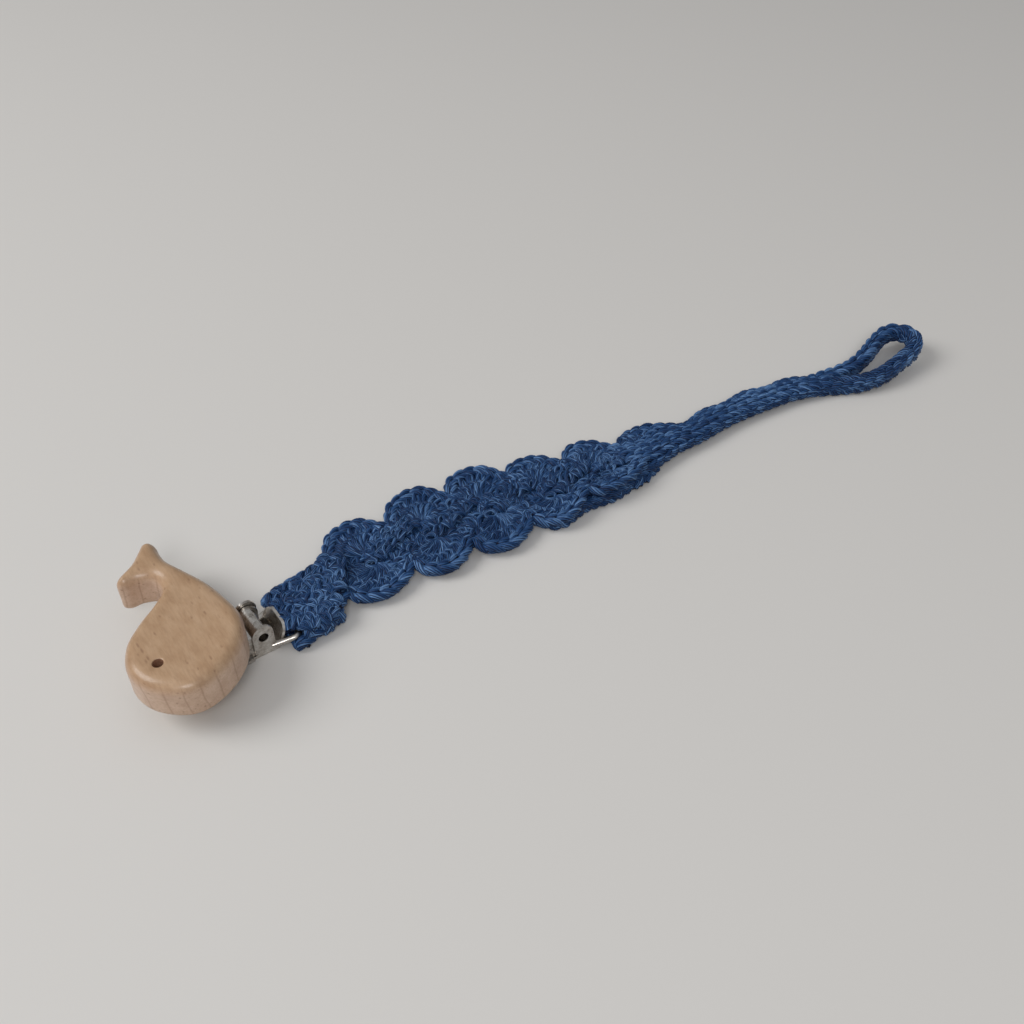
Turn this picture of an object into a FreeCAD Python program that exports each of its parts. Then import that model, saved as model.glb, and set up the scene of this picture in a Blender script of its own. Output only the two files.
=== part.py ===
import FreeCAD, Part
import Sketcher
import math
import os
import re

from FreeCAD import Rotation, Vector

# A clip-on soother strap: a steel spring clip with a wooden whale on its lever, a flat crocheted
# strap that wraps the clip's bar, and a cord loop at the far end.
# Row frame: +X runs from the clip along the strap, +Y across it, +Z up. The origin is on the
# underside of the clip's base plate, below the pivot pin. Millimetres.

SIZES = {
    "gauge": (0.6, "sheet steel of base and lever"),
    "ear_half": (2.3, "half the length of a base ear along X"),
    "ear_top": (8.2, "height of the base ears"),
    "ear_face": (4.35, "outer face of a base ear from the middle"),
    "ear_gap": (0.15, "play between base and lever ears"),
    "pin_height": (5.1, "height of the pivot pin"),
    "pin_radius": (1.4, "pivot pin outside radius"),
    "pin_wall": (0.3, "wall of the tubular pin"),
    "pin_play": (0.05, "running clearance of the lever on the pin"),
    "jaw_reach": (19.5, "front of the lower jaw from the pivot"),
    "jaw_half": (4.8, "half width of the lower jaw"),
    "corner": (2.4, "rounded corners of the sheet parts"),
    "tab_lean": (2.0, "how far the tab leans back"),
    "tab_top": (5.0, "height of the upturned tab"),
    "tab_inset": (0.05, "how much narrower the tab is than the ears, on each side"),
    "bar_x": (7.4, "X of the strap bar"),
    "bar_radius": (0.7, "radius of the strap bar"),
    "bar_half": (5.6, "half width of the strap loop at the bar"),
    "lever_height": (5.4, "top of the lever plate, under the wood"),
    "lever_reach": (20.0, "front of the lever plate"),
    "lever_half": (5.5, "half width of the lever plate"),
    "curl_gap": (0.15, "gap between the lever's curled end and the bore for the pin"),
    "cam_gap": (0.3, "gap between the lever's cam lobes and the spring jaw's flat root"),
    "leaf": (0.4, "thickness of the spring jaw"),
    "leaf_side": (0.35, "play between the spring jaw and the base's ears, on each side"),
    "leaf_root": (0.9, "how far the spring jaw's root stays behind the end of the ears"),
    "leaf_lift": (0.05, "play between spring jaw and base"),
    "leaf_rise": (1.25, "height that the spring jaw gains towards its front"),
    "pad_length": (5.5, "length of the toothed jaw pad"),
    "pad_half": (4.8, "half width of the jaw pad"),
    "pad_cover": (0.4, "plastic above and in front of the spring jaw"),
    "pad_inset": (0.6, "how far the pad stays behind the lower jaw's front"),
    "pad_gap": (0.15, "gap between the pad's teeth and the lower jaw"),
    "tooth_pitch": (1.0, "pitch of the pad's teeth"),
    "tooth_depth": (0.35, "depth of the grooves between teeth"),
    "screw_radius": (1.0, "radius of a lever screw's shank"),
    "screw_length": (5.6, "length of a screw above the lever plate's underside"),
    "screw_head": (1.8, "radius of a screw's head"),
    "screw_head_height": (0.7, "height of a screw's head"),
    "screw_front": (16.5, "distance of the front screw from the pivot"),
    "screw_rear": (8.5, "distance of the rear screw from the pivot"),
    "screw_hole_play": (0.1, "play of a screw in the lever plate"),
    "whale_width": (24.0, "size of the whale along X"),
    "whale_length": (42.2, "size of the whale along Y"),
    "whale_thickness": (9.0, "thickness of the wood"),
    "whale_edge": (0.8, "rounding of the wood's edges"),
    "whale_gap": (0.7, "gap between the wood and the base's ears"),
    "whale_near": (15.6, "how far the wood reaches to the near side"),
    "eye_radius": (1.2, "radius of the drilled eye"),
    "eye_depth": (3.0, "depth of the drilled eye"),
    "eye_from_edge": (5.5, "eye from the whale's front edge, along X"),
    "eye_from_near": (9.0, "eye from the whale's near side, along Y"),
    "hem_thickness": (4.4, "two layers of crochet, folded over the bar"),
    "hem_play": (0.15, "play of the fold round the bar"),
    "neck_play": (1.0, "room between the fold and the ends of the bar, for the legs that lean inwards"),
    "hem_gap": (0.5, "gap between the bar and the hem's shoulders"),
    "hem_near": (7.0, "the hem's near shoulder from the middle"),
    "hem_far": (8.6, "the hem's far shoulder from the middle"),
    "band_thickness": (3.0, "one layer of crochet"),
    "fan_radius": (9.0, "radius of a shell of double crochet"),
    "fan_shift": (3.3, "how far the far shells sit ahead of the middle, and the near ones behind"),
    "tail_width": (8.2, "width of the narrow end of the strap"),
    "cord_diameter": (4.0, "diameter of the loop's cord"),
}

# Places that follow from the sizes, written once.
BAR_HEIGHT = "hem_thickness/2"
HEM_START = "(bar_x + bar_radius + hem_gap)"
HEM_NECK = "(bar_half - bar_radius - neck_play)"
TAB_FOOT = "(ear_half + gauge)"
TAB_HALF = "(ear_face - tab_inset)"
LEVER_EAR = "(ear_face - gauge - ear_gap)"
CURL = "(pin_radius + pin_play + curl_gap + gauge)"
LEAF_LOW = "(gauge + leaf_lift)"
LEAF_HALF = "(ear_face - gauge - leaf_side)"
LEAF_FRONT = "(jaw_reach - pad_inset - pad_cover)"
CAM_LOW = f"({LEAF_LOW} + leaf + cam_gap)"
PAD_LOW = "(gauge + pad_gap)"
WHALE_END = "(ear_half + whale_gap)"

SAME = 0.01  # distances below this count as none
ALONG = 0.9  # cosine above which an edge counts as running along an axis

# The whale's outline, anticlockwise from the middle of its back: body, tail, flukes, notch, head.
WHALE_OUTLINE = [
    (-3.0, -3.0), (-3.5, 2.6), (-5.1, 9.2), (-7.6, 15.2), (-9.4, 19.4), (-9.8, 22.4),
    (-9.8, 24.9), (-10.7, 26.4), (-12.3, 26.4), (-13.7, 25.1), (-16.4, 22.2), (-19.7, 19.9),
    (-20.6, 18.3), (-19.4, 16.9), (-16.2, 17.2), (-13.5, 15.8), (-13.5, 12.2), (-16.6, 9.0),
    (-21.2, 5.7), (-25.1, 1.7), (-27.0, -4.0), (-25.5, -9.9), (-20.9, -14.5), (-15.9, -15.6),
    (-9.6, -13.2), (-4.9, -8.6),
]

# One row of the scalloped band: the spine's X and Y, and half the distance between the centres
# of its far and near shells.
FAN_ROWS = [(29.8, 6.4, 3.8), (45.8, 5.8, 4.6), (61.6, 3.7, 4.3), (76.2, 1.6, 2.8), (91.0, 0.0, 1.4)]

# The hem's outline past the bar, where two layers lie on each other.
HEM_OUTLINE = [(16.4, -6.8), (20.0, -1.6), (22.6, 3.0), (25.4, 8.0), (22.4, 12.8)]

# The middle line of the narrow end, from the last shells to the loop.
TAIL_ROUTE = [(99.5, -1.6), (112.0, -0.8), (124.0, -1.6), (136.0, -2.2), (147.0, -3.4), (158.0, -5.8)]

# The loop's cord leaves the narrow end on its far side, goes round and comes back on its near side.
LOOP_ROUTE = [
    (158.4, -3.8, 2.0), (165.0, -5.2, 2.0), (172.5, -6.4, 2.2), (180.0, -5.2, 2.9),
    (186.3, -2.7, 3.9), (191.8, -2.1, 4.6), (194.9, -5.0, 5.0), (194.7, -9.3, 5.0),
    (191.4, -12.1, 4.6), (185.0, -13.1, 3.9), (177.5, -14.0, 3.0), (170.5, -12.7, 2.4),
    (163.9, -9.4, 2.0), (157.6, -8.0, 2.0),
]

doc = FreeCAD.newDocument("soother_strap")
sheet = doc.addObject("Spreadsheet::Sheet", "Sizes")
for row, (alias, (number, what)) in enumerate(SIZES.items(), start=1):
    sheet.set(f"A{row}", alias)
    sheet.set(f"B{row}", str(number))
    sheet.set(f"C{row}", what)
    sheet.setAlias(f"B{row}", alias)
doc.recompute()

subparts = []


def cells(formula):
    """The formula with each size's name turned into a reference to its cell."""
    return re.sub(r"[a-z][a-z_]+", lambda word: "Sizes." + word.group(), formula)


def value(formula):
    """The formula's value with the sizes that the sheet holds now."""
    return float(sheet.evalExpression(cells(formula)))


def finished(made, label):
    """Marks an object as one sub-part of the model, under the name of its file."""
    made.Label = label
    subparts.append(made)
    return made


def place(made, x, y, z):
    for axis, formula in zip("xyz", (x, y, z)):
        made.setExpression("Placement.Base." + axis, cells(formula))


def box(name, low, high):
    """A box between two corners, each given as three formulas."""
    made = doc.addObject("Part::Box", name)
    for side, a, b in zip(("Length", "Width", "Height"), low, high):
        made.setExpression(side, cells(f"({b}) - ({a})"))
    place(made, *low)
    return made


def cylinder(name, radius, length, start, along="z"):
    """A cylinder that starts at a point and runs along +Y or +Z."""
    made = doc.addObject("Part::Cylinder", name)
    made.setExpression("Radius", cells(radius))
    made.setExpression("Height", cells(length))
    if along == "y":
        made.Placement = FreeCAD.Placement(Vector(), Rotation(Vector(1, 0, 0), -90))
    place(made, *start)
    return made


def fuse(name, pieces):
    made = doc.addObject("Part::MultiFuse", name)
    made.Shapes = pieces
    made.Refine = True
    return made


def cut(name, base, tool):
    made = doc.addObject("Part::Cut", name)
    made.Base = base
    made.Tool = tool
    made.Refine = True
    return made


def rounded(name, base, radius, wanted):
    """Rounds the edges of base that wanted picks by their middle point and direction."""
    doc.recompute()
    picked = []
    for number, edge in enumerate(base.Shape.Edges, start=1):
        if edge.Curve.TypeId == "Part::GeomLine":
            first, last = (v.Point for v in edge.Vertexes)
            if wanted((first + last) / 2, (last - first).normalize()):
                picked.append((number, value(radius), value(radius)))
    made = doc.addObject("Part::Fillet", name)
    made.Base = base
    made.Edges = picked
    return made


def body(name):
    return doc.addObject("PartDesign::Body", name)


def sketch_on(owner, name, plane, height="0"):
    """A sketch on one of the body's own planes, lifted along the plane's normal."""
    made = owner.newObject("Sketcher::SketchObject", name)
    made.AttachmentSupport = [(p, "") for p in owner.Origin.OriginFeatures if p.Role == plane]
    made.MapMode = "FlatFace"
    if height != "0":
        made.setExpression("AttachmentOffset.Base.z", cells(height))
    return made


def draw_outline(sketch, corners):
    """A closed outline of straight sides, with each corner bound to the sheet."""
    points = [Vector(value(across), value(up), 0) for across, up in corners]
    count = len(points)
    for number, point in enumerate(points):
        sketch.addGeometry(Part.LineSegment(point, points[(number + 1) % count]))
    for number in range(count):
        sketch.addConstraint(Sketcher.Constraint("Coincident", number, 2, (number + 1) % count, 1))
    for number, corner in enumerate(corners):
        for kind, formula in zip(("DistanceX", "DistanceY"), corner):
            at = sketch.addConstraint(Sketcher.Constraint(kind, number, 1, value(formula)))
            sketch.setExpression(f"Constraints[{at}]", cells(formula))


def draw_circle(sketch, x, y, radius):
    circle = Part.Circle(Vector(value(x), value(y), 0), Vector(0, 0, 1), value(radius))
    number = sketch.addGeometry(circle)
    for kind, formula in (("DistanceX", x), ("DistanceY", y)):
        at = sketch.addConstraint(Sketcher.Constraint(kind, number, 3, value(formula)))
        sketch.setExpression(f"Constraints[{at}]", cells(formula))
    at = sketch.addConstraint(Sketcher.Constraint("Radius", number, value(radius)))
    sketch.setExpression(f"Constraints[{at}]", cells(radius))


def pad(owner, sketch, length, midplane=False):
    made = owner.newObject("PartDesign::Pad", sketch.Name + "_pad")
    made.Profile = sketch
    made.Midplane = midplane
    made.setExpression("Length", cells(length))
    return made


def pocket(owner, sketch, depth, upwards=False):
    made = owner.newObject("PartDesign::Pocket", sketch.Name + "_pocket")
    made.Profile = sketch
    made.Reversed = upwards
    made.setExpression("Length", cells(depth))
    return made


def rounded_path(points, reaches):
    """Straight runs with a tangent arc at each inner point, starting and ending a reach away from it."""
    edges, radii, at = [], [], points[0]
    for before, corner, after, reach in zip(points, points[1:], points[2:], reaches):
        back = (before - corner).normalize()
        ahead = (after - corner).normalize()
        half_turn = (math.pi - back.getAngle(ahead)) / 2
        start, end = corner + back * reach, corner + ahead * reach
        radius = reach / math.tan(half_turn)
        middle = corner + (back + ahead).normalize() * radius * (1 / math.cos(half_turn) - 1)
        edges.append(Part.LineSegment(at, start).toShape())
        edges.append(Part.Arc(start, middle, end).toShape())
        radii.append(radius)
        at = end
    edges.append(Part.LineSegment(at, points[-1]).toShape())
    return Part.Wire(edges), radii


def smooth_path(points):
    """A cord's path: each arc is as large as its two runs allow."""
    share = 0.45
    runs = [(b - a).Length for a, b in zip(points, points[1:])]
    return rounded_path(points, [share * min(pair) for pair in zip(runs, runs[1:])])


def bar_along(path, radius):
    """A round bar whose middle line is the path."""
    first = path.Edges[0]
    start, direction = first.Vertexes[0].Point, first.tangentAt(first.FirstParameter)
    section = Part.Wire(Part.Circle(start, direction, radius).toShape())
    return path.makePipeShell([section], True, False)


def shape_object(name, shape):
    made = doc.addObject("Part::Feature", name)
    made.Shape = shape
    made.Placement = FreeCAD.Placement()
    return made


def across(x, z, start="ear_face"):
    """Where a cylinder along Y starts, on the near side of the middle."""
    return x, f"-({start})", z


# ---- the clip ----


def make_base_plate():
    """Lower jaw, two ears with the pin's holes, an upturned tab and the strap's loop."""
    jaw = box("jaw_floor", ("-jaw_reach", "-jaw_half", "0"), ("-ear_half - gauge", "jaw_half", "gauge"))
    jaw_front = value("-jaw_reach")
    jaw = rounded("jaw_floor_rounded", jaw, "corner",
                  lambda middle, way: abs(way.z) > ALONG and abs(middle.x - jaw_front) < SAME)
    floor = box("ear_floor", ("-ear_half - 2*gauge", "-ear_face", "0"), (TAB_FOOT, "ear_face", "gauge"))
    ears = []
    shoulder = "ear_top - ear_half"
    for side, low in (("near", "-ear_face"), ("far", "ear_face - gauge")):
        ears.append(box(f"{side}_ear", ("-ear_half", low, "0"), ("ear_half", f"{low} + gauge", shoulder)))
        ears.append(cylinder(f"{side}_ear_top", "ear_half", "gauge", ("0", low, shoulder), "y"))
    whole = fuse("base_whole", [jaw, floor, make_tab(), make_strap_bar()] + ears)
    hole = cylinder("ear_holes", "pin_radius", "2*ear_face", across("0", "pin_height"), "y")
    return finished(cut("base_plate_solid", whole, hole), "base_plate")


def make_strap_bar():
    """The round bar that the strap wraps, and its two legs, which leave the ears and spread outwards."""
    leg = Vector(value("ear_half - bar_radius"), value("ear_face - gauge/2"), value("bar_radius + gauge"))
    corner = Vector(value("bar_x"), value("bar_half"), value(BAR_HEIGHT))
    points = [leg, corner, Vector(corner.x, -corner.y, corner.z), Vector(leg.x, -leg.y, leg.z)]
    reach = 2 * value("bar_radius")
    path, _radii = rounded_path(points, [reach, reach])
    return shape_object("strap_bar", bar_along(path, value("bar_radius")))


def make_tab():
    """The tongue that is turned up between the ears and the strap's slot, with an arched top."""
    leaning = body("tab_body")
    side = sketch_on(leaning, "tab_side", "XZ_Plane")
    draw_outline(side, [
        (f"{TAB_FOOT} - gauge", "0"), (TAB_FOOT, "0"), (f"{TAB_FOOT} + tab_lean + gauge", "tab_top"),
        (f"{TAB_FOOT} + tab_lean", "tab_top"),
    ])
    pad(leaning, side, f"2*{TAB_HALF}", midplane=True)
    arch = box("tab_arch", (f"{TAB_FOOT} - 2*gauge", f"-{TAB_HALF}", "-gauge"),
               (f"{TAB_FOOT} + 2*tab_lean + gauge", TAB_HALF, "tab_top"))
    top = value("tab_top")
    arch = rounded("tab_arch_rounded", arch, "corner",
                   lambda middle, way: abs(way.x) > ALONG and abs(middle.z - top) < SAME)
    made = doc.addObject("Part::MultiCommon", "tab")
    made.Shapes = [leaning, arch]
    return made


def make_lever_plate():
    """The plate under the wood, its two ears with cam lobes, and the end that curls over the pin."""
    plate = box("lever_flat", ("-lever_reach", "-lever_half", "lever_height - gauge"),
                (f"-ear_half - gauge - {CURL}", "lever_half", "lever_height"))
    plate = rounded("lever_flat_rounded", plate, "corner", lambda middle, way: abs(way.z) > ALONG)
    bridge = box("lever_bridge", (f"-ear_half - gauge - 2*{CURL}", f"-{LEVER_EAR}", "lever_height - gauge"),
                 ("-pin_radius - 2*ear_gap", LEVER_EAR, "lever_height"))
    whole = [plate, bridge]
    for side, low in (("near", f"-{LEVER_EAR}"), ("far", f"{LEVER_EAR} - gauge")):
        whole.append(cylinder(f"{side}_lever_ear", CURL, "gauge", ("0", low, "pin_height"), "y"))
        whole.append(make_cam(side, low))
    whole.append(make_curl())
    joined = fuse("lever_whole", whole)
    hole = cylinder("lever_pin_hole", "pin_radius + pin_play", "2*ear_face", across("0", "pin_height"), "y")
    bored = cut("lever_bored", joined, hole)
    holes = []
    for which in ("front", "rear"):
        at = (f"-screw_{which}", "0", "lever_height - 2*gauge")
        holes.append(cylinder(f"{which}_lever_hole", "screw_radius + screw_hole_play", "gauge*3", at))
    return finished(cut("lever_plate_solid", bored, fuse("lever_holes", holes)), "lever_plate")


def make_curl():
    """The lever's end, rolled over the top of the pin: a quarter of a tube and a little more."""
    roll = cylinder("curl_outside", CURL, f"2*{LEVER_EAR}", across("0", "pin_height", LEVER_EAR), "y")
    below = box("curl_opening", (f"-{CURL}", "-ear_face", f"pin_height - 2*{CURL}"),
                (f"2*{CURL}", "ear_face", "pin_height"))
    beyond = box("curl_end", (f"{CURL}/4", "-ear_face", f"pin_height - {CURL}"),
                 (f"2*{CURL}", "ear_face", f"pin_height + 2*{CURL}"))
    inside = cylinder("curl_inside", f"{CURL} - gauge", "2*ear_face", across("0", "pin_height"), "y")
    return cut("curl_shell", cut("curl_over", cut("curl", roll, below), beyond), inside)


def make_cam(side, low):
    """A lobe of the lever's ear that presses the spring jaw down while the lever lies flat."""
    lobe = body(f"{side}_cam")
    outline = sketch_on(lobe, f"{side}_cam_outline", "XZ_Plane", f"-({low})")
    draw_outline(outline, [
        (f"-3*{CURL}", "lever_height"), (f"-2.4*{CURL}", f"{CAM_LOW} + {CURL}/2"), (f"-1.5*{CURL}", CAM_LOW),
        (f"-{CURL}/2", CAM_LOW), (f"-{CURL}/2", "lever_height"),
    ])
    made = pad(lobe, outline, "gauge")
    made.Reversed = True
    return lobe


def make_pivot_pin():
    """The tubular pin through all four ears."""
    outside = cylinder("pin_outside", "pin_radius", "2*ear_face", across("0", "pin_height"), "y")
    inside = cylinder("pin_inside", "pin_radius - pin_wall", "2*ear_face", across("0", "pin_height"), "y")
    return finished(cut("pivot_pin_solid", outside, inside), "pivot_pin")


def make_spring_jaw():
    """The leaf that bites down on the cloth: flat at its root, stepped up towards its front."""
    leaf = body("spring_jaw_body")
    side = sketch_on(leaf, "leaf_side", "XZ_Plane")
    root, step, front = "ear_half - leaf_root", "-ear_half - gauge", f"-{LEAF_FRONT}"
    draw_outline(side, [
        (root, LEAF_LOW), (root, f"{LEAF_LOW} + leaf"), (step, f"{LEAF_LOW} + leaf"),
        (f"{front}/2", f"{LEAF_LOW} + leaf_rise + leaf"), (front, f"{LEAF_LOW} + leaf_rise + leaf"),
        (front, f"{LEAF_LOW} + leaf_rise"), (f"{front}/2", f"{LEAF_LOW} + leaf_rise"), (step, LEAF_LOW),
    ])
    pad(leaf, side, f"2*{LEAF_HALF}", midplane=True)
    return finished(leaf, "spring_jaw")


def make_jaw_pad():
    """A plastic cap pushed over the front of the spring jaw, with teeth across its underside."""
    cap = body("jaw_pad_body")
    side = sketch_on(cap, "pad_side", "XZ_Plane")
    leaf_low, leaf_front = f"{LEAF_LOW} + leaf_rise", f"-{LEAF_FRONT}"
    front, back = f"{leaf_front} - pad_cover", f"{leaf_front} - pad_cover + pad_length"
    draw_outline(side, [
        (front, PAD_LOW), (back, PAD_LOW), (back, leaf_low), (leaf_front, leaf_low),
        (leaf_front, f"{leaf_low} + leaf"), (back, f"{leaf_low} + leaf"),
        (back, f"{leaf_low} + leaf + pad_cover"), (front, f"{leaf_low} + leaf + pad_cover"),
    ])
    pad(cap, side, "2*pad_half", midplane=True)
    groove = sketch_on(cap, "groove_side", "XZ_Plane")
    draw_outline(groove, [
        (f"{front} + tooth_pitch/2", f"{PAD_LOW} - tooth_depth"),
        (f"{front} + tooth_pitch*1.5", f"{PAD_LOW} - tooth_depth"),
        (f"{front} + tooth_pitch", f"{PAD_LOW} + tooth_depth"),
    ])
    first = cap.newObject("PartDesign::Pocket", "groove_cut")
    first.Profile = groove
    first.Midplane = True
    first.setExpression("Length", cells("3*pad_half"))
    doc.recompute()
    row = cap.newObject("PartDesign::LinearPattern", "groove_row")
    row.Originals = [first]
    row.Direction = (groove, ["H_Axis"])
    row.Occurrences = int(value("pad_length / tooth_pitch")) - 1
    row.setExpression("Length", cells(f"tooth_pitch*{row.Occurrences - 1}"))
    cap.Tip = row
    return finished(cap, "jaw_pad")


# ---- the wood and its screws ----


def screw(which):
    """A pan-head screw from under the lever plate up into the wood."""
    at = f"-screw_{which}"
    underside = "lever_height - gauge"
    head_low = f"{underside} - screw_head_height"
    shank = cylinder(f"{which}_shank", "screw_radius", "screw_length", (at, "0", underside))
    head = cylinder(f"{which}_head", "screw_head", "screw_head_height", (at, "0", head_low))
    slot = box(f"{which}_slot", (f"{at} - screw_head", "-screw_radius/4", head_low),
               (f"{at} + screw_head", "screw_radius/4", f"{underside} - screw_head_height/2"))
    return cut(f"{which}_screw", fuse(f"{which}_screw_round", [shank, head]), slot)


def make_lever_screws():
    both = doc.addObject("Part::Compound", "lever_screws_pair")
    both.Links = [screw("front"), screw("rear")]
    return finished(both, "lever_screws")


def tightest_bend(curve):
    """The smallest radius of a closed curve, which limits the rounding of its edges."""
    first, last, steps = curve.FirstParameter, curve.LastParameter, 400
    bends = [curve.curvature(first + (last - first) * step / steps) for step in range(steps)]
    return 1 / max(bends)


def make_whale_body():
    """The whale, cut from a board, with rounded edges, a drilled eye and two pilot holes."""
    wood = body("whale")
    xs, ys = zip(*WHALE_OUTLINE)
    scale_x = value("whale_width") / (max(xs) - min(xs))
    scale_y = value("whale_length") / (max(ys) - min(ys))
    right, near = -value(WHALE_END), -value("whale_near")
    points = []
    for x, y in WHALE_OUTLINE:
        points.append(Vector(right + (x - max(xs)) * scale_x, near + (y - min(ys)) * scale_y, 0))
    curve = Part.BSplineCurve()
    curve.interpolate(Points=points, PeriodicFlag=True)
    outline = sketch_on(wood, "whale_outline", "XY_Plane", "lever_height")
    outline.addGeometry(curve)
    board = pad(wood, outline, "whale_thickness")
    doc.recompute()
    rim = []
    for number, edge in enumerate(board.Shape.Edges, start=1):
        if edge.Curve.TypeId != "Part::GeomLine":
            rim.append(f"Edge{number}")
    bend_share = 0.84
    soft = wood.newObject("PartDesign::Fillet", "soft_edges")
    soft.Base = (board, rim)
    soft.setExpression("Radius", f"min({cells('whale_edge')}; {bend_share * tightest_bend(curve):.3f})")
    doc.recompute()
    eye = sketch_on(wood, "eye", "XY_Plane", "lever_height + whale_thickness")
    draw_circle(eye, f"-{WHALE_END} - whale_width + eye_from_edge", "-whale_near + eye_from_near",
                "eye_radius")
    pocket(wood, eye, "eye_depth")
    for which in ("front", "rear"):
        pilot = sketch_on(wood, f"{which}_pilot", "XY_Plane", "lever_height")
        draw_circle(pilot, f"-screw_{which}", "0", "screw_radius")
        pocket(wood, pilot, "screw_length - gauge", upwards=True)
    return finished(wood, "whale_body")


# ---- the crochet ----


def flat_prism(name, outline, low, high):
    """A slab over an outline in the XY plane, between two heights."""
    points = [Vector(x, y, value(low)) for x, y in outline]
    face = Part.Face(Part.makePolygon(points + points[:1]))
    return shape_object(name, face.extrude(Vector(0, 0, value(high) - value(low))))


def hem_corners():
    """The hem's outline from its shoulders past the loop to where the band begins."""
    start = value(HEM_START)
    return [(start, -value("hem_near"))] + HEM_OUTLINE + [(start, value("hem_far"))]


def make_strap_hem():
    """The strap's end: two layers, with the fold that wraps the clip's bar between its legs."""
    low, high = "0", "hem_thickness"
    neck = box("fold_back", ("bar_x", f"-{HEM_NECK}", low), (f"{HEM_START} + bar_radius", HEM_NECK, high))
    fold = cylinder("fold_round", "hem_thickness/2", f"2*{HEM_NECK}",
                    across("bar_x", BAR_HEIGHT, HEM_NECK), "y")
    whole = fuse("hem_whole", [neck, fold, flat_prism("hem_layers", hem_corners(), low, high)])
    channel = cylinder("bar_channel", "bar_radius + hem_play", f"4*{HEM_NECK}",
                       across("bar_x", BAR_HEIGHT, f"2*{HEM_NECK}"), "y")
    return finished(cut("strap_hem_solid", whole, channel), "strap_hem")


def make_strap_band():
    """The scalloped band: rows of shells on both sides of a spine."""
    radius, shift, thickness = value("fan_radius"), value("fan_shift"), value("band_thickness")
    discs = []
    for x, y, spread in FAN_ROWS:
        for side in (1, -1):
            centre = Vector(x + side * shift, y + side * spread, 0)
            discs.append(Part.makeCylinder(radius, thickness, centre))
    whole = discs[0].multiFuse(discs[1:]).removeSplitter()
    hem_end = flat_prism("hem_space", hem_corners(), "-band_thickness", "2*band_thickness").Shape
    first_x, last_x = TAIL_ROUTE[0][0], max(x for x, _y, _spread in FAN_ROWS) + shift + radius
    end_block = Part.makeBox(last_x, 4 * radius, thickness, Vector(first_x, -2 * radius, 0))
    whole = whole.cut(end_block).cut(hem_end)
    return finished(shape_object("strap_band_solid", whole), "strap_band")


def make_strap_tail():
    """The narrow end of the strap, two cords worked side by side."""
    half = value("tail_width") / 2
    points = [Vector(x, y, 0) for x, y in TAIL_ROUTE]
    near, far = [(points[0].x, points[0].y - half)], [(points[0].x, points[0].y + half)]
    for before, point, after in zip(points, points[1:], points[2:] + points[-1:]):
        way = (after - before).normalize()
        near.append((point.x + way.y * half, point.y - way.x * half))
        far.append((point.x - way.y * half, point.y + way.x * half))
    return finished(flat_prism("strap_tail_solid", near + far[::-1], "0", "cord_diameter"), "strap_tail")


def make_loop_cord():
    """The loop that a soother hangs from: a round cord with both ends in the strap."""
    radius = value("cord_diameter") / 2
    path, radii = smooth_path([Vector(*point) for point in LOOP_ROUTE])
    shape = bar_along(path, radius)
    print("loop cord radii", [round(r, 1) for r in radii])
    print("loop cord length", round(path.Length, 1))
    print("loop cord volume ratio", round(shape.Volume / (math.pi * radius**2 * path.Length), 4))
    return finished(shape_object("loop_cord_solid", shape), "loop_cord")


make_base_plate()
make_lever_plate()
make_pivot_pin()
make_spring_jaw()
make_jaw_pad()
make_lever_screws()
make_whale_body()
make_strap_hem()
make_strap_band()
make_strap_tail()
make_loop_cord()
doc.recompute()

for item in doc.Objects:
    if "Invalid" in item.State or "Error" in item.State:
        raise RuntimeError(f"{item.Label} failed: {item.State}")

os.makedirs("parts", exist_ok=True)
for item in subparts:
    if item.Shape.isNull() or not item.Shape.isValid():
        raise RuntimeError(f"{item.Label} has no valid shape")
    print(f"{item.Label:14s} {len(item.Shape.Solids)} solid(s) {item.Shape.Volume:9.2f} mm3")
    item.Shape.exportStep(f"parts/{item.Label}.step")
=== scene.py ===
import math
import random

import bmesh
import bpy
import mathutils
import numpy as np
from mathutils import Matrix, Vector


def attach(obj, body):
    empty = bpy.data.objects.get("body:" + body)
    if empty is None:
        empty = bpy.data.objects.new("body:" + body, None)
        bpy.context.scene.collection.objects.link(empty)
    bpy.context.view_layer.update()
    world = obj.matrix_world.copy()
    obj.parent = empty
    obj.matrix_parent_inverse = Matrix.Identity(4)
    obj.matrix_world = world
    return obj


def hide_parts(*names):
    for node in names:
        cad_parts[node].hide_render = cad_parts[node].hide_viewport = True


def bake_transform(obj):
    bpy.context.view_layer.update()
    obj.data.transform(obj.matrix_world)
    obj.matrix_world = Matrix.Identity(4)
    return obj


# A crocheted soother strap on a spring clip under a beech whale. The clip and its screws are the CAD's
# own parts with better materials. The crochet is built here, strand by strand, and so is the whale,
# whose edges are rounder than the CAD's. Lengths are millimetres in the part's own frame, where +X
# runs along the strap, +Y to its far side and +Z up, and MM turns them into Blender's metres.

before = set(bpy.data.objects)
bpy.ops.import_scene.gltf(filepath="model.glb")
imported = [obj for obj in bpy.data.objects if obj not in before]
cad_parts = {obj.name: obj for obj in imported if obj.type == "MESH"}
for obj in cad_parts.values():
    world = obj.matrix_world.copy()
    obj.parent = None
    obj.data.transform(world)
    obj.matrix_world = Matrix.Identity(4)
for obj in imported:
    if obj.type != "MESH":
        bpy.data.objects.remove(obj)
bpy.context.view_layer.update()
MM = 0.001
TINY = 1e-12  # keeps a division by a length of nothing from failing
draw = random.Random(7)


# ---- the camera and the loop's middle line ----


def to_metres(point):
    return tuple(c * MM for c in point)


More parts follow.
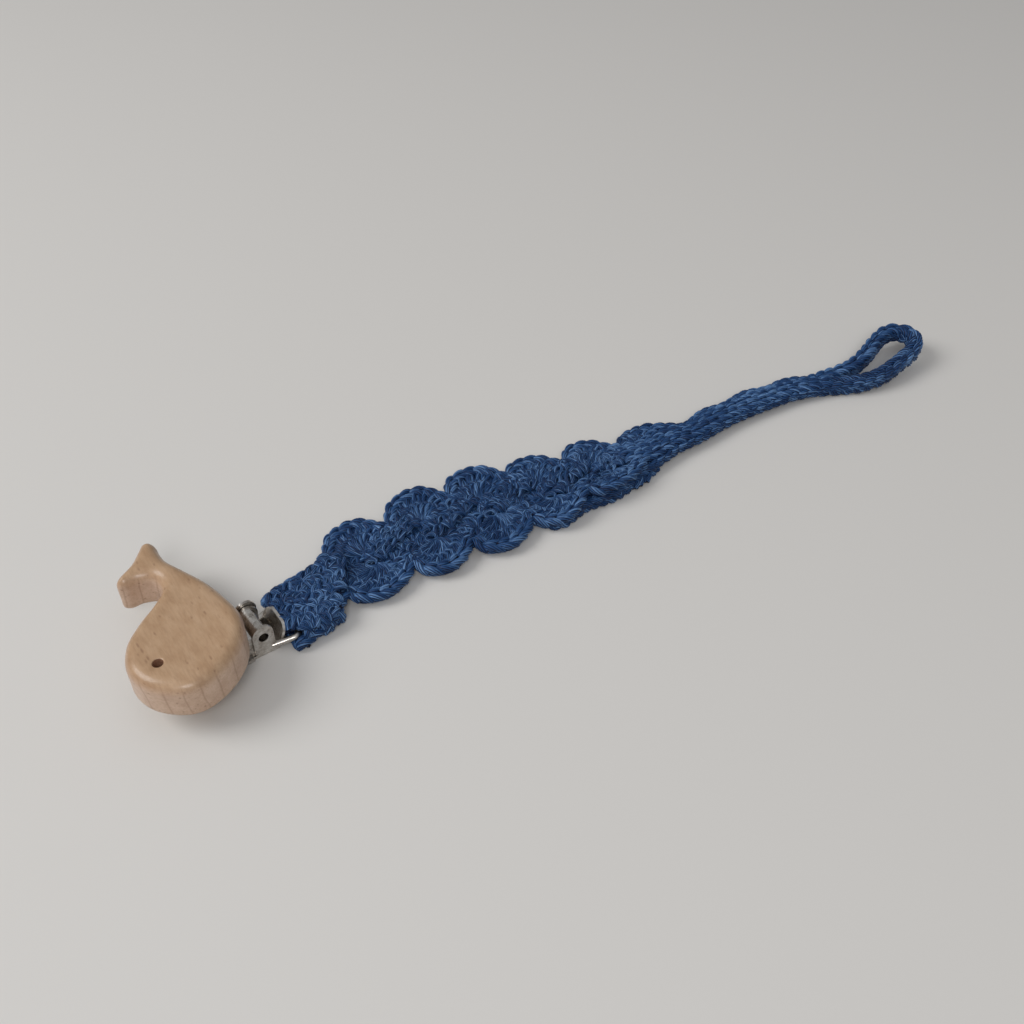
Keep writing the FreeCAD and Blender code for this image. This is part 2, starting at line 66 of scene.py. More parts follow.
def add_camera():
    """Stands where the photographer did, looking 43 degrees down and 35 degrees across the strap."""
    data = bpy.data.cameras.new("camera")
    data.sensor_width = 36
    data.lens = 38.67
    data.clip_start = 0.01
    camera = bpy.data.objects.new("camera", data)
    bpy.context.collection.objects.link(camera)
    down, across = math.radians(43), math.radians(35)
    look = Vector((math.sin(across) * math.cos(down), math.cos(across) * math.cos(down), -math.sin(down)))
    camera.location = to_metres((-42.78, -154.17, 177.61))
    camera.rotation_euler = look.to_track_quat("-Z", "Y").to_euler()
    bpy.context.scene.camera = camera


add_camera()

# The control points of the loop's middle line: out of the strap on its far side and back on its near side.
LOOP_ROUTE = [
    (158.4, -3.8, 2.0), (165.0, -5.2, 2.0), (172.5, -6.4, 2.2), (180.0, -5.2, 2.9),
    (186.3, -2.7, 3.9), (191.8, -2.1, 4.6), (194.9, -5.0, 5.0), (194.7, -9.3, 5.0),
    (191.4, -12.1, 4.6), (185.0, -13.1, 3.9), (177.5, -14.0, 3.0), (170.5, -12.7, 2.4),
    (163.9, -9.4, 2.0), (157.6, -8.0, 2.0),
]


def nurbs_line(points, resolution=24):
    """The smooth line that a NURBS spline draws through its control points, in millimetres."""
    curve = bpy.data.curves.new("route", "CURVE")
    curve.dimensions = "3D"
    spline = curve.splines.new("NURBS")
    spline.points.add(len(points) - 1)
    for slot, point in zip(spline.points, points):
        slot.co = (*point, 1.0)
    spline.order_u = 3
    spline.use_endpoint_u = True
    spline.resolution_u = resolution
    holder = bpy.data.objects.new("route", curve)
    bpy.context.collection.objects.link(holder)
    mesh = bpy.data.meshes.new_from_object(holder)
    line = np.array([vertex.co[:] for vertex in mesh.vertices])
    bpy.data.objects.remove(holder)
    bpy.data.meshes.remove(mesh)
    bpy.data.curves.remove(curve)
    return line


loop_line = nurbs_line(LOOP_ROUTE)


# ---- yarn ----

PLIES = 7
GROOVE, CREST = 0.84, 1.05  # reach of a strand's outline, in radii
SECTION = np.array([GROOVE, CREST, CREST] * PLIES)
SECTION_TURN = np.linspace(0, 2 * math.pi, 3 * PLIES, endpoint=False)
PLY_TWIST = 2 * math.pi / 9.0  # radians per millimetre: the plies turn once in 9 mm
RING_STEP = 0.5  # from one ring of a strand's mesh to the next
LINE_STEP = 0.3  # from point to point of the lines that stitches follow
SURFACE_GAP = 0.03  # the lowest that any yarn lies


def spread_evenly(points, step):
    """The same line with its points a step apart, and how far along it each point lies."""
    points = np.asarray(points, float)
    runs = np.linalg.norm(np.diff(points, axis=0), axis=1)
    along = np.concatenate([[0], np.cumsum(runs)])
    count = max(2, int(round(along[-1] / step)) + 1)
    wanted = np.linspace(0, along[-1], count)
    return np.stack([np.interp(wanted, along, points[:, axis]) for axis in range(3)], axis=1), wanted


def through(points, per_run=12, closed=False):
    """A smooth line through given points (Catmull-Rom)."""
    points = [np.asarray(p, float) for p in points]
    if closed:
        points = [points[-1]] + points + points[:2]
    else:
        points = [2 * points[0] - points[1]] + points + [2 * points[-1] - points[-2]]
    line = []
    for a, b, c, d in zip(points, points[1:], points[2:], points[3:]):
        for t in np.arange(per_run) / per_run:
            line.append(0.5 * (2 * b + (c - a) * t + (2 * a - 5 * b + 4 * c - d) * t**2
                               + (3 * b - a - 3 * c + d) * t**3))
    line.append(points[-2])
    return np.array(line)


def sideways_from(ahead):
    """A direction across the line at each of its points, carried along it without twisting."""
    side = np.cross(ahead[0], (0.1, 0.2, 1.0))
    side /= np.linalg.norm(side)
    sideways = [side]
    for way in ahead[1:]:
        side = side - way * side.dot(way)
        side /= np.linalg.norm(side)
        sideways.append(side)
    return np.array(sideways)


class Yarn:
    """Gathers strands of plied yarn into one mesh, with a UV map round and along each strand."""

    def __init__(self):
        self.corners, self.faces, self.turns, self.tints, self.count = [], [], [], [], 0

    def strand(self, points, radius, closed=False):
        """One strand along a line. The radius is a number, or a function of the share of the length."""
        points, along = spread_evenly(points, RING_STEP)
        if closed:
            points, along = points[:-1], along[:-1]
        rings, sides = len(points), len(SECTION)
        if rings < 3:
            return
        if closed:
            ahead = np.roll(points, -1, axis=0) - np.roll(points, 1, axis=0)
        else:
            ahead = np.gradient(points, axis=0)
        ahead /= np.linalg.norm(ahead, axis=1)[:, None] + TINY
        sideways = sideways_from(ahead)
        upward = np.cross(ahead, sideways)
        size = radius(along / along[-1]) if callable(radius) else radius
        size = np.broadcast_to(np.asarray(size, float), rings)
        start = draw.uniform(0, 2 * math.pi)
        turn = SECTION_TURN[None, :] + PLY_TWIST * along[:, None] + start
        reach = size[:, None] * SECTION[None, :]
        ring = (points[:, None, :] + (reach * np.cos(turn))[..., None] * sideways[:, None, :]
                + (reach * np.sin(turn))[..., None] * upward[:, None, :])
        number = np.arange(rings * sides).reshape(rings, sides) + self.count
        nearer, further = number[:-1], number[1:]
        if closed:
            nearer, further = number, np.roll(number, -1, axis=0)
        quads = np.stack([nearer, np.roll(nearer, -1, axis=1),
                          np.roll(further, -1, axis=1), further], axis=-1)
        self.faces.append(quads.reshape(-1, 4))
        self.corners.append(ring.reshape(-1, 3))
        self.turns.append(self._unrolled(along[:len(quads)], sides))
        self.tints.append(np.full(len(quads) * sides, draw.uniform(0, 1)))
        self.count += rings * sides
        if not closed:
            self._cap(ring[0], ahead[0] * -size[0] * 0.5)
            self._cap(ring[-1][::-1], ahead[-1] * size[-1] * 0.5)

    def _unrolled(self, along, sides):
        """The UVs of a strand's faces: the share of a turn, and the length from a start of its own."""
        around = np.arange(sides)
        u0, u1 = around / sides, (around + 1) / sides
        shift = draw.uniform(0, 50)
        uv = np.empty((len(along), sides, 4, 2))
        uv[..., 0, 0] = uv[..., 3, 0] = u0
        uv[..., 1, 0] = uv[..., 2, 0] = u1
        uv[..., 0, 1] = uv[..., 1, 1] = (along + shift)[:, None]
        uv[..., 2, 1] = uv[..., 3, 1] = (along + RING_STEP + shift)[:, None]
        return uv.reshape(-1, 2)

    def _cap(self, ring, out):
        """Closes a strand's end with a low dome of its own."""
        sides = len(ring)
        middle = ring.mean(axis=0)
        inner = middle + (ring - middle) * 0.6 + out * 0.7
        tip = middle + out
        self.corners.append(np.concatenate([ring, inner, [tip]]))
        outer = np.arange(sides) + self.count
        rim = outer + sides
        after = np.roll(np.arange(sides), -1)
        self.faces.append(np.stack([outer[after], outer, rim, rim[after]], axis=-1))
        tips, none = np.full(sides, self.count + 2 * sides), np.full(sides, -1)
        self.faces.append(np.stack([rim[after], rim, tips, none], axis=-1))
        self.turns.append(np.zeros((sides * 4 + sides * 3, 2)))
        self.tints.append(np.full(2 * sides, 0.5))
        self.count += 2 * sides + 1

    def mesh(self, name, shape=None):
        """Makes the object. A face's fourth corner is -1 where it has only three."""
        corners = np.concatenate(self.corners)
        if shape is not None:
            corners = shape(corners)
        corners[:, 2] = np.maximum(corners[:, 2], SURFACE_GAP)
        faces = np.concatenate(self.faces)
        sizes = np.where(faces[:, 3] >= 0, 4, 3)
        loops = faces.reshape(-1)
        loops = loops[loops >= 0]
        starts = np.concatenate([[0], np.cumsum(sizes)[:-1]])
        mesh = bpy.data.meshes.new(name)
        mesh.vertices.add(len(corners))
        mesh.vertices.foreach_set("co", (corners * MM).astype(np.float32).ravel())
        mesh.loops.add(len(loops))
        mesh.loops.foreach_set("vertex_index", loops.astype(np.int32))
        mesh.polygons.add(len(faces))
        mesh.polygons.foreach_set("loop_start", starts.astype(np.int32))
        mesh.polygons.foreach_set("loop_total", sizes.astype(np.int32))
        mesh.update(calc_edges=True)
        mesh.polygons.foreach_set("use_smooth", np.ones(len(faces), bool))
        uv = mesh.uv_layers.new(name="yarn")
        uv.data.foreach_set("uv", np.concatenate(self.turns).astype(np.float32).ravel())
        tint = mesh.attributes.new("tint", "FLOAT", "FACE")
        tint.data.foreach_set("value", np.concatenate(self.tints).astype(np.float32))
        mesh.validate()
        made = bpy.data.objects.new(name, mesh)
        bpy.context.collection.objects.link(made)
        return made


def level_frames(line):
    """For each point of a line, the directions along it, across it (level) and up from it."""
    ahead = np.gradient(line, axis=0)
    ahead /= np.linalg.norm(ahead, axis=1)[:, None] + TINY
    across = np.cross((0.0, 0.0, 1.0), ahead)
    across /= np.linalg.norm(across, axis=1)[:, None] + TINY
    return ahead, across, np.cross(ahead, across)


def plait(yarn, line, half_width, half_height, stitch_length, radius, frames=level_frames):
    """A chain of V-shaped stitches, plaited from three strands, along a line."""
    strands = 3
    line, along = spread_evenly(line, LINE_STEP)
    _ahead, across, up = frames(line)
    start = draw.uniform(0, 1)
    lay = draw.uniform(0.9, 1.1)
    width = half_width * (1 + 0.07 * np.sin(along / 5.3 + 6 * start))
    for number in range(strands):
        turn = 2 * math.pi * (along / (strands * stitch_length * lay) + number / strands + start)
        wander = 0.10 * np.sin(along / 1.9 + number * 2.1 + 9 * start)
        middle = (line + across * (width * np.sin(turn) + wander)[:, None]
                  + up * (half_height * np.sin(2 * turn))[:, None])
        yarn.strand(middle, radius)


# One leg of a stitch, point by point: along in stitches, aside in widths and up in radii.
LEG = [(-0.85, 0.05, -0.8), (-0.42, 0.22, 0.35), (0.02, 0.40, 0.70), (0.42, 0.53, 0.30), (0.78, 0.50, -0.7)]


def chain(yarn, line, width, stitch_length, radius, frames=level_frames):
    """A row of crochet stitches seen from above: pairs of legs that nest in each other's Vs."""
    line, along = spread_evenly(line, LINE_STEP)
    _ahead, across, up = frames(line)
    count = max(2, int(round(along[-1] / stitch_length)))
    pitch = along[-1] / count
    for number in range(count):
        middle = number + 0.5 + draw.uniform(-0.08, 0.08)
        wide = width * draw.uniform(0.90, 1.10)
        for side in (-1, 1):
            leg = []
            for forward, aside, rise in LEG:
                at = float(np.clip((middle + forward) * pitch, 0, along[-1]))
                near = int(round(at / along[-1] * (len(line) - 1)))
                place = np.array([np.interp(at, along, line[:, axis]) for axis in range(3)])
                leg.append(place + across[near] * side * aside * wide + up[near] * rise * radius)
            yarn.strand(through(leg, 5), lambda t: radius * (0.78 + 0.24 * np.sin(math.pi * t)))
    yarn.strand(line - up * radius * 0.7, radius * 0.9)


# ---- the shells ----

# One shell a line: its centre, then the points of its edge. A far shell's edge runs from the notch
# before it over its crown to the notch after it, and on to the strap's middle. A near shell's edge
# runs from notch to notch.
FAR_SHELLS = [
    ((30.9, 6.8), [(21.8, 12.8), (25.6, 17.4), (32.8, 18.8), (38.2, 14.0), (44.3, 9.0)]),
    ((46.2, 7.4), [(38.5, 14.0), (43.2, 19.0), (51.0, 19.8), (55.4, 14.6), (59.4, 7.5)]),
    ((61.0, 5.8), [(55.8, 14.6), (59.8, 18.6), (67.0, 18.2), (71.2, 12.9), (74.4, 5.2)]),
    ((76.0, 2.6), [(71.6, 12.8), (75.4, 14.4), (81.2, 12.9), (85.0, 8.4), (89.8, 3.2)]),
    ((91.4, 0.9), [(85.4, 8.4), (89.8, 11.2), (95.8, 10.0), (99.8, 5.0), (104.0, 1.2)]),
    ((105.0, -0.6), [(100.0, 5.2), (104.6, 7.4), (111.8, 6.8), (117.6, 2.6), (121.0, -0.4)]),
]
NEAR_SHELLS = [
    ((29.8, 3.8), [(20.0, -0.6), (22.4, -4.6), (28.6, -6.7), (35.0, -4.6), (38.0, -1.6)]),
    ((44.9, 3.0), [(36.8, -1.8), (38.4, -5.8), (43.8, -8.1), (49.4, -6.2), (52.6, -3.0)]),
    ((60.6, 1.8), [(51.4, -3.6), (53.2, -7.7), (59.2, -9.8), (65.0, -7.8), (68.2, -4.8)]),
    ((75.4, -1.4), [(66.0, -2.4), (67.0, -6.0), (70.0, -9.3), (74.6, -10.8), (80.0, -9.2), (83.2, -7.0)]),
    ((91.0, -3.4), [(82.2, -6.8), (84.2, -9.6), (90.4, -10.4), (97.2, -9.2), (103.5, -4.6)]),
]
EDGE_IN = 1.55  # from the edge in to the middle of the row of stitches along it
POST_RADIUS = 0.62
POST_ANGLE = math.radians(14.5)  # from one post to the next
POST_FROM = 1.45  # from a shell's centre to the start of its posts
SHORTEST_POST = 3.0
LAYERS = ((2.15, 1), (0.85, -1))  # the height of the posts above and below, and which way they bulge


def rolled(corners):
    """Past its middle the strap twists a little: its near edge lifts off the surface."""
    x, y = corners[:, 0], corners[:, 1]

    def smooth(value, low, high):
        t = np.clip((value - low) / (high - low), 0, 1)
        return t * t * (3 - 2 * t)

    lift = 2.0 * smooth(x, 66, 84) * (1 - smooth(x, 104, 118)) * smooth(-y, -1.0, 8.0)
    pull = 1.1 * smooth(x, 70, 88) * (1 - smooth(x, 104, 118)) * smooth(-y, 2.0, 9.0)
    wave = 0.22 * np.sin(x / 6.1) * smooth(x, 24, 40)
    moved = corners.copy()
    moved[:, 2] += lift + np.clip(wave, 0, None)
    moved[:, 1] += pull
    return moved


def add_post(yarn, centre, way, off, length, height, bulge_way):
    """One tall stitch from a shell's centre to its edge: two strands that wind round each other."""
    out = np.linspace(POST_FROM, length, 14)
    share = (out - out[0]) / (out[-1] - out[0])
    apart = 0.20 + 0.42 * np.clip(share * 1.6, 0, 1)
    bulge = np.sin(math.pi * share) * 0.16
    twist = math.pi * (0.25 + 1.15 * share) + draw.uniform(-0.5, 0.5)
    for half in (0, math.pi):
        line = centre + way * out[:, None] + off * (apart * np.cos(twist + half))[:, None]
        line[:, 2] = height + 0.34 * np.sin(twist + half) * bulge_way + bulge * bulge_way
        yarn.strand(through(line, 3), lambda s: POST_RADIUS * (0.62 + 0.38 * np.clip(s * 2.4, 0, 1)))


def add_knot(yarn, knot, way, off, height):
    """The strand that lies slantwise over a post."""
    steps = ((-0.85, -0.55, 0.0), (-0.3, -0.1, 0.62), (0.3, 0.3, 0.62), (0.85, 0.75, 0.0))
    bar = [knot + off * aside + way * forward + (0, 0, height + rise) for aside, forward, rise in steps]
    yarn.strand(through(bar, 6), 0.42)


def add_shell(yarn, centre, edge):
    """A fan of posts in two layers round a centre, with a row of stitches along its edge."""
    centre = np.array([*centre, 0.0])
    outline = through([(x, y, 0.0) for x, y in edge], 14)
    arms = outline - centre
    angle = np.unwrap(np.arctan2(arms[:, 1], arms[:, 0]))
    reach = np.linalg.norm(arms[:, :2], axis=1)
    flip = -1 if angle[-1] < angle[0] else 1
    angle = angle * flip
    order = np.argsort(angle)
    angle, reach = angle[order], reach[order]
    span = angle[-1] - angle[0]
    count = int(round(span / POST_ANGLE))
    for layer, (height, bulge_way) in enumerate(LAYERS):
        for number in range(count + 1):
            share = (number + 0.35 * layer) / (count + 0.35)
            at = angle[0] + span * (0.03 + 0.94 * share) + draw.uniform(-0.03, 0.03)
            length = float(np.interp(at, angle, reach)) - EDGE_IN - 0.35
            if length < SHORTEST_POST:
                continue
            way = np.array([math.cos(flip * at), math.sin(flip * at), 0.0])
            off = np.array([-way[1], way[0], 0.0])
            add_post(yarn, centre, way, off, length, height, bulge_way)
            if layer == 0:
                knot = centre + way * (POST_FROM + 0.58 * (length - POST_FROM))
                add_knot(yarn, knot, way, off, height)
    rim = outline - arms / np.linalg.norm(arms, axis=1)[:, None] * EDGE_IN
    rim[:, 2] = 2.05
    chain(yarn, rim, 1.85, 2.9, 0.76)
    rim[:, 2] = 0.95
    yarn.strand(rim, 0.80)


def add_eye(yarn, centre):
    """The small open eye that a shell's posts are worked into."""
    ring = [(centre[0] + 1.30 * math.cos(t), centre[1] + 1.15 * math.sin(t), 2.4 + 0.2 * math.sin(2 * t))
            for t in np.linspace(0, 2 * math.pi, 10, endpoint=False)]
    yarn.strand(through(ring, 6, closed=True), 0.5, closed=True)


def cover_middle(yarn, centre, end):
    """Stitches from beside a near shell's centre to the end of the far shell's edge."""
    ahead = np.array(end) - np.array(centre)
    middle = np.array(centre) + (0.0, 2.2)
    for step in np.linspace(0.18, 1.0, 6):
        for aside in (-2.0, 0.0, 2.0):
            spot = middle + ahead * step + (draw.uniform(-0.3, 0.3), aside + draw.uniform(-0.4, 0.4))
            heading = draw.choice((-50, 50, 130, 230)) + draw.uniform(-20, 20)
            stitch(yarn, (*spot, 2.4), heading, 2.7, 0.6)


def cover_notches(yarn, edge):
    """Stitches beside the two notches of a near shell, where it meets its neighbours."""
    for end, way in ((0, 1), (-1, -1)):
        for step, aside in ((0.8, 2.0), (2.6, 2.3), (0.6, 3.9), (2.6, 4.5)):
            spot = np.array(edge[end]) + (step * way, aside)
            stitch(yarn, (*spot, 1.9), draw.uniform(0, 360), 2.9, 0.7, 0.60)


def add_rows():
    """One piece for each far shell, with the near shell that sits beside it."""
    rows = []
    for number, (centre, edge) in enumerate(FAR_SHELLS):
        yarn = Yarn()
        add_shell(yarn, centre, edge)
        for heading in (20, 140, 260):
            stitch(yarn, (*centre, 2.0), heading + draw.uniform(-25, 25), 2.9, 0.6, 0.60)
        if number < len(NEAR_SHELLS):
            near_centre, near_edge = NEAR_SHELLS[number]
            add_shell(yarn, near_centre, near_edge)
            add_eye(yarn, near_centre)
            cover_middle(yarn, near_centre, edge[-1])
            cover_notches(yarn, near_edge)
        rows.append(yarn.mesh(f"shell_row_{number + 1}", rolled))
    return rows


def stitch(yarn, place, heading, length, lift, radius=0.52):
    """The two legs of one stitch that meet in a V, lying on the surface."""
    turn = math.radians(heading)
    way = np.array([math.cos(turn), math.sin(turn), 0.0])
    off = np.array([-math.sin(turn), math.cos(turn), 0.0])
    place = np.array(place)
    for side in (-1, 1):
        legs = [place - way * length * 0.55 + off * side * 0.35 - (0, 0, 0.5),
                place - way * length * 0.25 + off * side * 0.78 + (0, 0, lift * 0.8),
                place + way * length * 0.15 + off * side * 0.62 + (0, 0, lift),
                place + way * length * 0.50 + off * side * 0.10 - (0, 0, 0.3)]
        yarn.strand(through(legs, 5), radius)


EYE_CLEAR = 2.1  # how far the filling stitches stay from an eye's centre


def add_spine():
    """The chains inside the strap's middle, and those under its lifted near edge."""
    yarn = Yarn()
    line = through([(20.0, 4.6, 0.9), (29.8, 3.8, 0.9), (44.9, 3.0, 0.9), (60.6, 1.8, 0.9), (75.4, -1.4, 0.9),
                    (91.0, -3.4, 1.1), (104.0, -3.4, 1.3)])
    for shift in (-2.5, 2.4, 4.6):
        plait(yarn, line + np.array([0, shift, 0]), 0.80, 0.1, 2.5, 0.66)
    fill = Yarn()
    for x in np.arange(21.5, 101.0, 1.9):
        middle = np.interp(x, line[:, 0], line[:, 1])
        for aside in (-3.9, -2.2, -0.5, 1.2, 3.2):
            spot = np.array([x + draw.uniform(-0.5, 0.5), middle + aside + draw.uniform(-0.4, 0.4)])
            if min(np.linalg.norm(spot - np.array(centre)) for centre, _edge in NEAR_SHELLS) > EYE_CLEAR:
                stitch(fill, (*spot, 1.3), draw.uniform(0, 360), 2.8, 0.4, 0.60)
    for height, inward in ((0.75, 0.0), (2.2, -0.2)):
        under = through([(69.5, -5.4, height), (73.0, -8.6 - inward, height), (81.0, -7.6, height),
                         (89.0, -8.3 - inward, height), (97.0, -7.2, height), (104.0, -6.2, height)])
        plait(yarn, under, 0.8, 0.4, 2.6, 0.66)
    return [yarn.mesh("strap_spine"), fill.mesh("strap_fill")]


# ---- the doubled hem round the clip's bar ----

BAR_X, BAR_Z = 7.4, 2.2
HEM_TOP, HEM_LOW = 3.65, 0.8
HEM_START, HEM_END = BAR_X + 1.75, 23
HEM_PITCH = 2.35  # from one row round the hem to the next
# The rows along the bar: each one's height, X, near end and far end.
BAR_ROWS = [(HEM_TOP - 0.05, 7.3, -4.4, 7.4), (HEM_TOP - 0.35, 5.9, -3.9, 7.0), (BAR_Z, 5.6, -3.6, 3.6),
            (0.75, 7.4, -7.8, 7.8), (0.75, 6.2, -7.6, 7.2)]
HEM_NEAR_EDGE = [(5.8, -7.2, 0.8), (8.5, -6.9, 1.5), (12.0, -6.4, 2.4), (15.4, -5.6, 2.6), (17.6, -3.4, 2.6),
                 (20.6, -0.9, 2.5)]
HEM_FAR_EDGE = [(4.9, 6.4, 2.6), (9.0, 7.4, 2.8), (13.0, 8.0, 2.9), (17.0, 8.7, 2.8), (21.5, 10.0, 2.4)]


def hem_sides(x):
    """Where the hem's near and far edges lie at an X."""
    near = np.interp(x, [5, 15.8, 18.5, 21, 24], [-7.4, -6.9, -2.2, 1.0, 5.0])
    far = np.interp(x, [5, 8, 12, 17, 22], [7.2, 7.7, 8.3, 9.2, 10.8])
    return near, far


def ring_frames(line):
    """Frames of a ring that lies in a plane across the strap: across it is the strap's own length."""
    ahead = np.gradient(line, axis=0)
    ahead /= np.linalg.norm(ahead, axis=1)[:, None] + TINY
    across = np.tile((1.0, 0.0, 0.0), (len(line), 1))
    return ahead, across, np.cross(ahead, across)


def cover_hem(yarn):
    """Single stitches that lean to and fro over the hem's top, and leave the bar's near leg free."""
    count = 0
    for x in np.arange(6.6, 24, 2.15):
        near, far = hem_sides(x)
        if x < BAR_X + 1.0:
            near = max(near, -4.0)
        for y in np.arange(near + 1.4, far - 0.6, 2.05):
            count += 1
            lean = 48 if count % 2 else -48
            spot = (x + draw.uniform(-0.45, 0.45), y + draw.uniform(-0.4, 0.4), HEM_TOP + 0.45)
            stitch(yarn, spot, lean + draw.uniform(-22, 22) + draw.choice((0, 180)), 2.7, 0.45)


def add_hem():
    """Rows of stitches that run across the strap and round its two edges, over and under."""
    yarn = Yarn()
    x = HEM_START
    while x < HEM_END:
        near, far = hem_sides(x)
        near, far = near + 1.1, far - 1.1
        if far - near > 4:
            middle = (near + far) / 2
            ring = through([(x, near, HEM_TOP), (x, middle, HEM_TOP + 0.1), (x, far, HEM_TOP),
                            (x, far + 0.75, BAR_Z), (x, far, HEM_LOW), (x, middle, HEM_LOW),
                            (x, near, HEM_LOW), (x, near - 0.75, BAR_Z)], 10, closed=True)
            ring[:, 0] += 0.25 * np.sin(ring[:, 1] / 2.3 + x)
            plait(yarn, ring, 0.86, 0.42, 2.2, 0.66, frames=ring_frames)
        x += HEM_PITCH
    for z, x, near, far in BAR_ROWS:
        row = np.array([(x, near, z), (x, (near + far) / 2, z), (x, far, z)])
        plait(yarn, row, 0.62, 0.24, 2.2, 0.56, frames=ring_frames)
    for edge in (HEM_NEAR_EDGE, HEM_FAR_EDGE):
        chain(yarn, through(edge), 1.4, 2.9, 0.72)
    cover_hem(yarn)
    return yarn.mesh("strap_hem_rows")


# ---- the narrow end and the loop ----

# The narrow end's middle line with its width there: the strap is rolled up to a flat tube.
TAIL_ROUTE = [(98.0, -2.2, 10.4), (105.0, -1.9, 10.4), (112.0, -1.2, 9.8), (119.0, -2.0, 8.4),
              (127.0, -1.5, 8.2), (135.0, -1.4, 8.2), (143.0, -2.1, 8.2), (151.0, -3.1, 8.0),
              (157.5, -5.2, 7.2), (163.5, -7.4, 6.0)]
TAIL_ROWS = 8
NEAR_ROW = 3  # the row along the near edge's top, whose stitches stand up
TAIL_HEIGHT, TAIL_RISE = 2.3, 1.15  # of the tube's middle, and from there to the upper and lower rows
TAIL_EDGE = 1.25  # from the tube's side in to the middle of its outermost row
WAVE_START, WAVE_LENGTH, WAVE_REACH = 109.0, 14.0, 0.55  # of the far side's low scallops


def add_tail():
    """Rows of stitches side by side round a flat tube."""
    upper, under = Yarn(), Yarn()
    line = through([(x, y, TAIL_HEIGHT) for x, y, _width in TAIL_ROUTE])
    reach = through([(width, 0, 0) for _x, _y, width in TAIL_ROUTE])[:, 0] / 2 - TAIL_EDGE
    wave = WAVE_REACH * np.sin((line[:, 0] - WAVE_START) * 2 * math.pi / WAVE_LENGTH)
    _ahead, level, _up = level_frames(line)
    for number in range(TAIL_ROWS):
        turn = 2 * math.pi * number / TAIL_ROWS + 0.2 * math.sin(4 * math.pi * number / TAIL_ROWS)
        course = line + level * (reach * math.cos(turn))[:, None]
        course[:, 2] += TAIL_RISE * math.sin(turn)
        course += level * (wave * max(0.0, math.cos(turn)))[:, None]
        tilt = math.atan2(math.sin(turn) * 2.2, math.cos(turn))

        def frames(points, tilt=tilt):
            ahead, side, up = level_frames(points)
            out = side * math.cos(tilt) + up * math.sin(tilt)
            return ahead, np.cross(out, ahead), out

        bold = 1.22 if number == NEAR_ROW else 1.0
        yarn = upper if number <= NEAR_ROW else under
        chain(yarn, course, 1.45 * bold, 2.7 * bold, 0.66 * bold, frames=frames)
    return [upper.mesh("tail_upper_rows"), under.mesh("tail_under_rows")]


DRAWN_FROM, DRAWN_OVER = 171.0, 13.0  # where the loop's ends start to draw together, and over what length


def add_loop():
    """The loop's cord, whose two ends are drawn together where they enter the strap."""
    yarn = Yarn()
    line = loop_line.copy()
    back = np.clip((DRAWN_FROM - line[:, 0]) / DRAWN_OVER, 0, 1) ** 2
    far_side = np.arange(len(line)) < len(line) / 2
    line[:, 1] += np.where(far_side, -0.9, 2.3) * back
    for face in (1, -1):
        def frames(points, face=face):
            ahead, across, up = level_frames(points)
            return ahead, across * face, up * face

        shift = level_frames(line)[2] * (0.70 * face)
        chain(yarn, line + shift, 2.2, 3.0, 0.92, frames=frames)
    for aside in (-1.1, 1.1):
        yarn.strand(line + level_frames(line)[1] * aside, 0.88)
    return yarn.mesh("loop_braid")


shell_rows = add_rows()
spines = add_spine()
hem = add_hem()
tails = add_tail()
loop = add_loop()


# ---- the whale ----

WHALE_OUTLINE = [
    (-3.0, -3.0), (-3.5, 2.6), (-5.1, 9.2), (-7.6, 15.2), (-9.4, 19.4), (-9.8, 22.4),
    (-9.7, 25.2), (-10.5, 26.8), (-12.2, 26.9), (-13.6, 25.4), (-16.2, 22.6), (-19.6, 20.4),
    (-20.5, 19.0), (-19.2, 17.8), (-16.4, 17.6), (-13.6, 15.9), (-13.5, 12.2), (-16.6, 9.0),
    (-21.2, 5.7), (-25.1, 1.7), (-27.0, -4.0), (-25.5, -9.9), (-20.9, -14.5), (-15.9, -15.6),
    (-9.6, -13.2), (-4.9, -8.6),
]
WOOD_LOW, WOOD_TOP = 5.4, 14.4
ROUND_TOP, ROUND_LOW = 2.5, 1.3  # the rounding of its upper and lower edges
OUTLINE_STEP, GRID_STEP = 0.3, 0.8  # between the corners of its mesh
EYE = np.array([-21.5, -6.6])
EYE_RADIUS, EYE_DEPTH, EYE_RIM = 1.05, 3.0, 0.25
EYE_SIDES = 36


def distance_to(points, outline):
    """How far each point lies from a closed outline."""
    a, b = outline, np.roll(outline, -1, axis=0)
    run = b - a
    share = ((points[:, None, :] - a) * run).sum(-1) / (run * run).sum(-1)
    nearest = a + run * np.clip(share, 0, 1)[..., None]
    return np.linalg.norm(points[:, None, :] - nearest, axis=-1).min(axis=1)


def inside(points, outline):
    """Whether each point lies inside a closed outline."""
    a, b = outline, np.roll(outline, -1, axis=0)
    x, y = points[:, 0:1], points[:, 1:2]
    crosses = (a[:, 1] > y) != (b[:, 1] > y)
    at = (b[:, 0] - a[:, 0]) * (y - a[:, 1]) / (b[:, 1] - a[:, 1] + TINY) + a[:, 0]
    return (crosses & (x < at)).sum(axis=1) % 2 == 1


def whale_outline():
    """The whale's outline in even steps, and the way inwards from each of its points."""
    fine = through([(x, y, 0) for x, y in WHALE_OUTLINE], 30, closed=True)
    outline = spread_evenly(fine, OUTLINE_STEP)[0][:-1, :2]
    way = np.roll(outline, -1, axis=0) - np.roll(outline, 1, axis=0)
    way /= np.linalg.norm(way, axis=1)[:, None]
    inward = np.stack([-way[:, 1], way[:, 0]], axis=1)
    if not inside(outline[:1] + inward[:1] * 0.2, outline)[0]:
        inward = -inward
    return outline, inward


